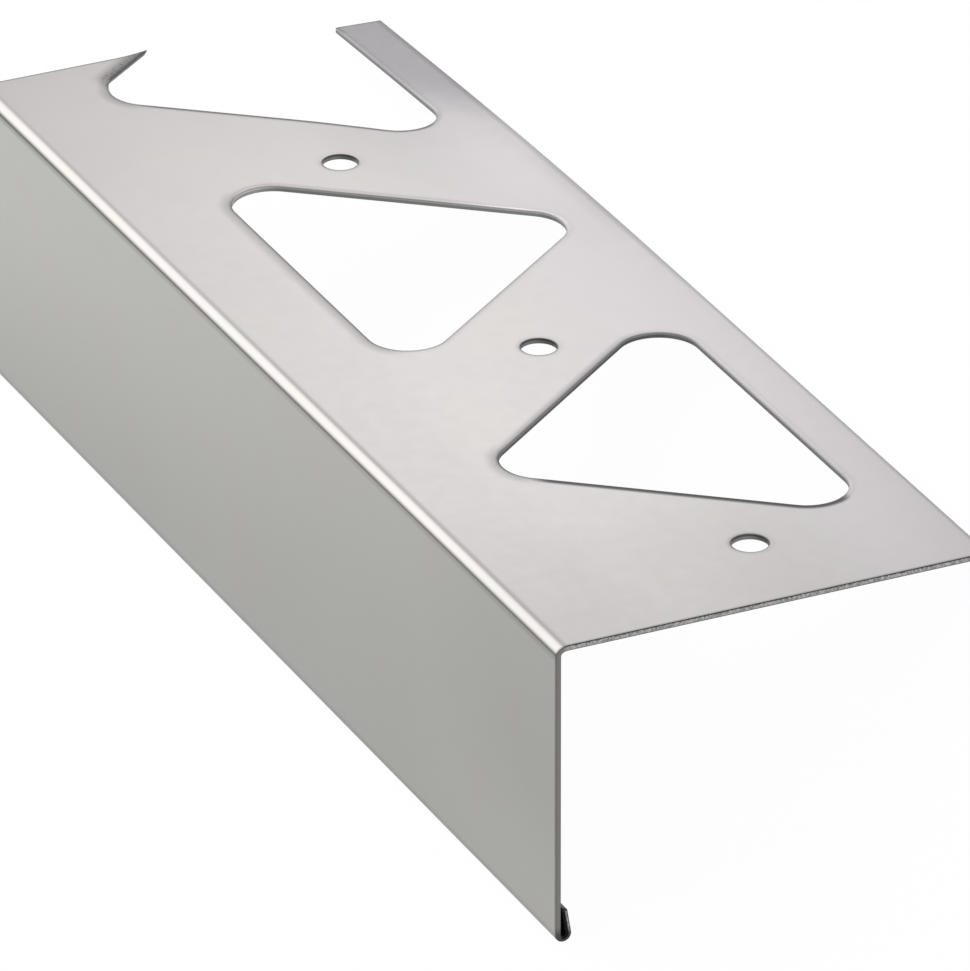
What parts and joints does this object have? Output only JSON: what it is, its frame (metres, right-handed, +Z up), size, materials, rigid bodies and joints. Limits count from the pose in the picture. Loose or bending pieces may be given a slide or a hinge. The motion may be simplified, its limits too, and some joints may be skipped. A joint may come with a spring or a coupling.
{
  "type": "balcony edge profile",
  "caption": "Stainless steel edge profile bent to an angle, with triangular openings punched in the level leg and a folded drip hem under the apron.",
  "frame": {"origin": "centre of the bounding box in X and Y, on the floor that the hem and the leg's back edge stand on", "axes": "+X along the profile, +Y from the apron towards the leg's back edge, +Z up, with the fold on top"},
  "size_m": [0.239, 0.096, 0.0462],
  "materials": {
    "satin_stainless_steel": "satin mill finish, not coated"
  },
  "bodies": {
    "root": {"edge_profile": "satin_stainless_steel"}
  },
  "joints": []
}
